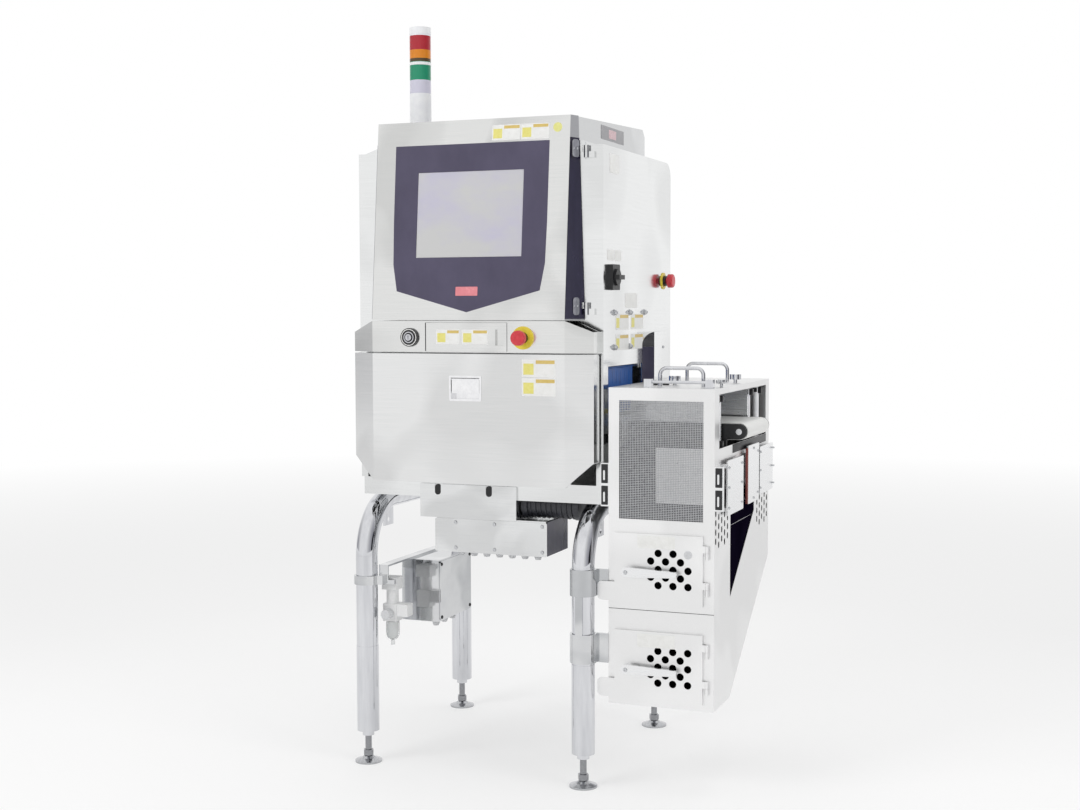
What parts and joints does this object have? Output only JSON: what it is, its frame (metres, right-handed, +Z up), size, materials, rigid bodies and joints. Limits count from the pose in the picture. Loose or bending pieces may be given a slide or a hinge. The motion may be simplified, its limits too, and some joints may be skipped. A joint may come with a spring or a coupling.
{
  "type": "food x-ray inspection machine",
  "caption": "Belt-fed x-ray inspection cabinet on a tubular stand, with a leaning touch-screen console, signal tower and a reject unit with binned doors at its outfeed.",
  "frame": {"origin": "centre of the whole machine's footprint box, on the floor", "axes": "+Z up, +X along the belt towards the reject unit, -Y towards the operator"},
  "size_m": [1.1219, 0.7465, 2.047],
  "materials": {
    "brushed_stainless": "brushed stainless steel sheet",
    "polished_stainless": "polished stainless tube and fittings",
    "white_enamel": "light grey powder coat",
    "black_plastic": "moulded black plastic",
    "white_plastic": "moulded light grey plastic",
    "dark_overlay": "dark violet-grey printed film",
    "screen_glass": "hard-coated display panel",
    "red_plastic": "red moulded plastic",
    "yellow_plastic": "yellow moulded plastic",
    "lens_plastic": "clear and coloured polycarbonate",
    "blue_shielding": "blue flexible shielding strip",
    "belt_urethane": "white urethane belt",
    "clear_bowl": "clear polycarbonate bowl",
    "motor_paint": "black painted aluminium housing"
  },
  "bodies": {
    "machine": {"left_leg_frame": "polished_stainless", "right_leg_frame": "polished_stainless", "machine_bed": "brushed_stainless", "foot_spindles": "polished_stainless", "foot_pads": "polished_stainless", "lower_cabinet": "brushed_stainless", "tunnel_roof": "brushed_stainless", "cabinet_shell": "brushed_stainless", "cabinet_hood": "brushed_stainless", "tower_column": "white_plastic", "tower_lenses": "lens_plastic", "hinge_brackets": "polished_stainless", "control_band": "brushed_stainless", "switch_bodies": "black_plastic", "xray_source": "white_enamel", "line_detector": "white_enamel", "control_computer": "white_enamel", "conveyor_frame": "brushed_stainless", "xray_belt": "belt_urethane", "drive_motor": "motor_paint", "drive_cover": "brushed_stainless", "terminal_box": "brushed_stainless", "cable_glands": "white_plastic", "valve_box": "brushed_stainless", "air_regulator": "white_plastic", "filter_bowl": "clear_bowl", "leg_clamps": "brushed_stainless", "reject_housing": "brushed_stainless", "window_mesh": "brushed_stainless", "reject_lid": "brushed_stainless", "lid_fittings": "polished_stainless", "reject_conveyor_frame": "black_plastic", "reject_belt": "belt_urethane", "gate_cylinders": "white_plastic", "outfeed_plates": "brushed_stainless"},
    "console": {"console_door": "brushed_stainless", "console_bezel": "dark_overlay", "touch_screen": "screen_glass"},
    "lower_door": {"lower_door": "brushed_stainless", "latch_frame": "polished_stainless"},
    "latch_flap": {"latch_flap": "white_plastic"},
    "band_cover": {"band_cover": "brushed_stainless"},
    "key": {"key_barrel": "polished_stainless"},
    "estop_front": {"estop_front_head": "red_plastic"},
    "estop_side": {"estop_side_head": "red_plastic"},
    "isolator": {"isolator_knob": "black_plastic"},
    "curtain_outfeed": {"curtain_outfeed": "blue_shielding"},
    "curtain_infeed": {"curtain_infeed": "blue_shielding"},
    "drive_roller": {"drive_roller": "polished_stainless"},
    "tail_roller": {"tail_roller": "polished_stainless"},
    "reject_drive_roller": {"reject_drive_roller": "polished_stainless"},
    "reject_tail_roller": {"reject_tail_roller": "polished_stainless"},
    "front_gate": {"front_gate": "white_plastic"},
    "rear_gate": {"rear_gate": "white_plastic"},
    "sweep_paddle": {"sweep_paddle": "yellow_plastic"},
    "bin_door_upper": {"bin_door_upper": "brushed_stainless"},
    "bin_door_lower": {"bin_door_lower": "brushed_stainless"},
    "bin_lever_upper": {"bin_lever_upper": "polished_stainless"},
    "bin_lever_lower": {"bin_lever_lower": "polished_stainless"},
    "regulator_knob": {"regulator_knob": "black_plastic"}
  },
  "joints": [
    {"name": "console_hinge", "type": "hinge", "parent": "machine", "child": "console", "pos_m": [0.154, -0.25825, 1.5], "axis": [0, 0, 1], "range_deg": [0, 100]},
    {"name": "lower_door_hinge", "type": "hinge", "parent": "machine", "child": "lower_door", "pos_m": [-0.161, -0.31525, 0.815], "axis": [1, 0, 0], "range_deg": [0, 90]},
    {"name": "latch_flap_pivot", "type": "hinge", "parent": "lower_door", "child": "latch_flap", "pos_m": [-0.164, -0.32825, 1.0785], "axis": [1, 0, 0], "range_deg": [-35, 0], "stiffness_Nm_per_rad": 0.05},
    {"name": "band_cover_hinge", "type": "hinge", "parent": "machine", "child": "band_cover", "pos_m": [-0.279, -0.33025, 1.19], "axis": [0, 0, 1], "range_deg": [-110, 0]},
    {"name": "key_turn", "type": "hinge", "parent": "machine", "child": "key", "pos_m": [-0.327, -0.33025, 1.1895], "axis": [0, 1, 0], "range_deg": [0, 90]},
    {"name": "estop_front_push", "type": "slide", "parent": "machine", "child": "estop_front", "axis": [0, 1, 0], "range_m": [0, 0.006]},
    {"name": "estop_side_push", "type": "slide", "parent": "machine", "child": "estop_side", "axis": [-1, 0, 0], "range_m": [0, 0.006]},
    {"name": "isolator_turn", "type": "hinge", "parent": "machine", "child": "isolator", "pos_m": [0.209, -0.17825, 1.349], "axis": [1, 0, 0], "range_deg": [0, 90]},
    {"name": "curtain_outfeed_swing", "type": "hinge", "parent": "machine", "child": "curtain_outfeed", "pos_m": [0.169, -0.04525, 1.105], "axis": [0, 1, 0], "range_deg": [-34, 34]},
    {"name": "curtain_infeed_swing", "type": "hinge", "parent": "machine", "child": "curtain_infeed", "pos_m": [-0.491, -0.04525, 1.105], "axis": [0, 1, 0], "range_deg": [-34, 34]},
    {"name": "drive_roller_spin", "type": "hinge", "parent": "machine", "child": "drive_roller", "pos_m": [0.2, -0.02225, 0.943], "axis": [0, 1, 0], "continuous": true},
    {"name": "tail_roller_spin", "type": "hinge", "parent": "machine", "child": "tail_roller", "pos_m": [-0.539, -0.02225, 0.943], "axis": [0, 1, 0], "continuous": true},
    {"name": "reject_drive_spin", "type": "hinge", "parent": "machine", "child": "reject_drive_roller", "pos_m": [0.539, -0.02225, 0.943], "axis": [0, 1, 0], "continuous": true},
    {"name": "reject_tail_spin", "type": "hinge", "parent": "machine", "child": "reject_tail_roller", "pos_m": [0.253, -0.02225, 0.943], "axis": [0, 1, 0], "continuous": true},
    {"name": "front_gate_drop", "type": "slide", "parent": "machine", "child": "front_gate", "axis": [0, 0, -1], "range_m": [0, 0.07]},
    {"name": "rear_gate_drop", "type": "slide", "parent": "machine", "child": "rear_gate", "axis": [0, 0, -1], "range_m": [0, 0.07]},
    {"name": "paddle_sweep", "type": "slide", "parent": "machine", "child": "sweep_paddle", "axis": [0, 1, 0], "range_m": [-0.09, 0.09]},
    {"name": "bin_door_upper_hinge", "type": "hinge", "parent": "machine", "child": "bin_door_upper", "pos_m": [0.492, -0.29025, 0.592], "axis": [0, 0, 1], "range_deg": [0, 110]},
    {"name": "bin_door_lower_hinge", "type": "hinge", "parent": "machine", "child": "bin_door_lower", "pos_m": [0.492, -0.29025, 0.336], "axis": [0, 0, 1], "range_deg": [0, 110]},
    {"name": "bin_lever_upper_turn", "type": "hinge", "parent": "bin_door_upper", "child": "bin_lever_upper", "pos_m": [0.28, -0.30025, 0.583], "axis": [0, 1, 0], "range_deg": [0, 90]},
    {"name": "bin_lever_lower_turn", "type": "hinge", "parent": "bin_door_lower", "child": "bin_lever_lower", "pos_m": [0.28, -0.30025, 0.327], "axis": [0, 1, 0], "range_deg": [0, 90]},
    {"name": "regulator_knob_turn", "type": "hinge", "parent": "machine", "child": "regulator_knob", "pos_m": [-0.423, -0.28025, 0.419], "axis": [0, 1, 0], "range_deg": [-360, 360]}
  ],
  "couplings": [
    {"joint": "tail_roller_spin", "follows": "drive_roller_spin", "ratio": 1},
    {"joint": "reject_tail_spin", "follows": "reject_drive_spin", "ratio": 1}
  ]
}
